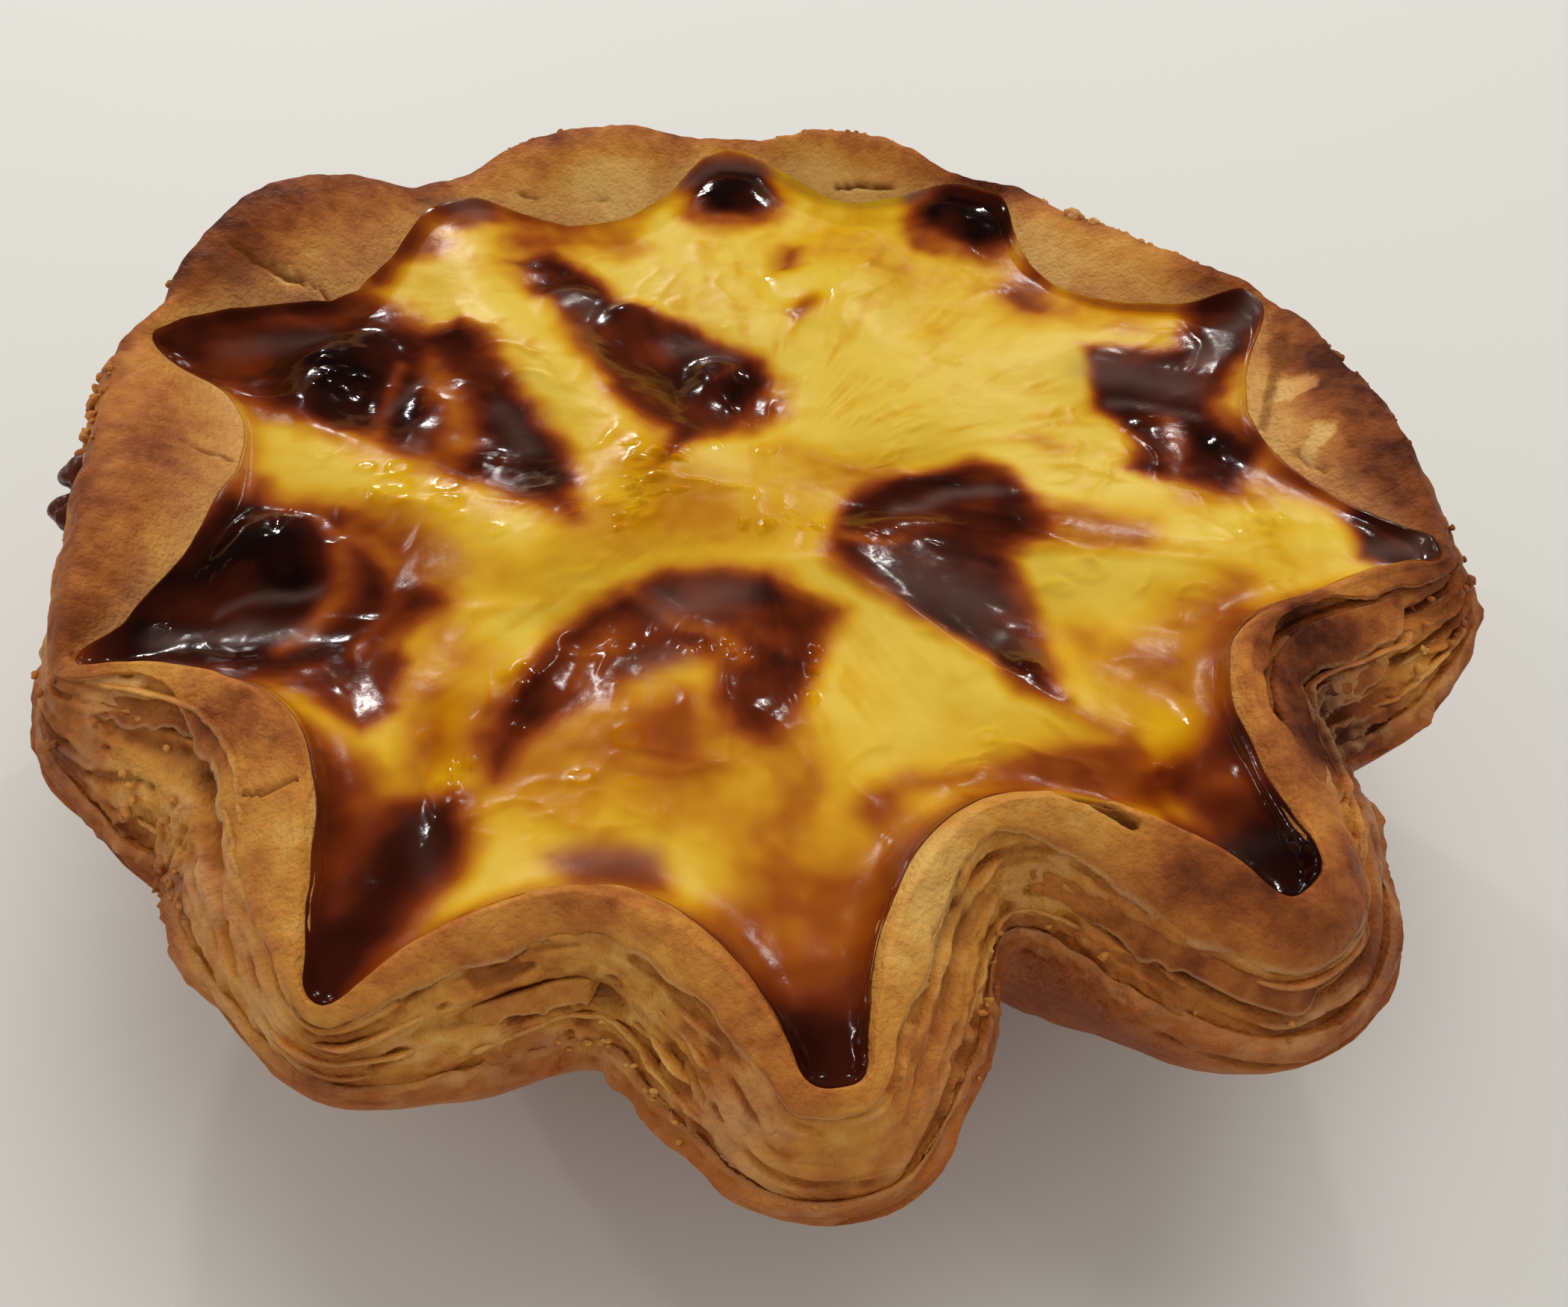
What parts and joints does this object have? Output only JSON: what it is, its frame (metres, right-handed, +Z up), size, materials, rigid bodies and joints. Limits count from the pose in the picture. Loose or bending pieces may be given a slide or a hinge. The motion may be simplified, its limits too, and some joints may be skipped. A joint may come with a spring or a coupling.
{
  "type": "egg tart",
  "caption": "Round baked tart: a flaky pastry cup with an uneven, wavy layered rim, filled with glossy custard scorched in dark patches.",
  "frame": {"origin": "on the flat underside, below the middle of the bounding box", "axes": "+Z up out of the custard; the deepest folds of the rim are towards -Y"},
  "size_m": [0.076, 0.0752, 0.0262],
  "materials": {
    "pastry": "baked flaky pastry, golden brown with lighter layers, slightly buttery sheen",
    "custard": "glossy yellow custard with amber and dark brown scorched patches"
  },
  "bodies": {
    "root": {"crust": "pastry", "custard": "custard"}
  },
  "joints": []
}
